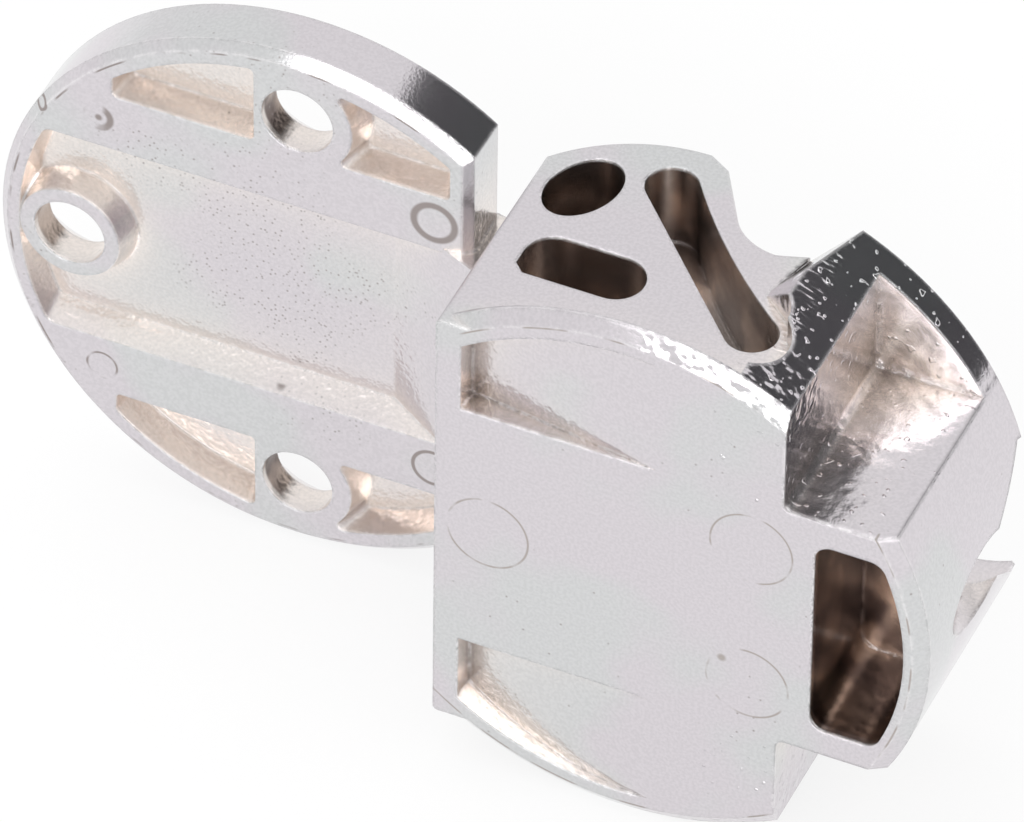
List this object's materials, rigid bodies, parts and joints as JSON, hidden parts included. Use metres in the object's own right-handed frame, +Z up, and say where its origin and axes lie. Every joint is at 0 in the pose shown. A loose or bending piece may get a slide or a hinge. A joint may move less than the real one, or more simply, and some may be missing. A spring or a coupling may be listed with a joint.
{
  "type": "flap hinge",
  "caption": "Plated flap hinge: a thin round leaf swings on a deep round body, and both are let into drilled recesses.",
  "frame": {"origin": "centre of the body's recess circle, on its closed face at the bottom of the recess", "axes": "+X from the leaf to the body, +Y from the closed face to the face that shows, +Z up along the pin"},
  "size_m": [0.0597, 0.018, 0.035],
  "materials": {
    "nickel": "nickel plate over a rough zinc casting",
    "pin_steel": "plain drawn wire"
  },
  "bodies": {
    "body": {"body_casting": "nickel", "pivot_pin": "pin_steel"},
    "leaf": {"leaf_casting": "nickel"}
  },
  "joints": [
    {"name": "leaf_swing", "type": "hinge", "parent": "body", "child": "leaf", "pos_m": [-0.0046, 0.0106, 0], "axis": [0, 0, -1], "range_deg": [0, 90]}
  ]
}
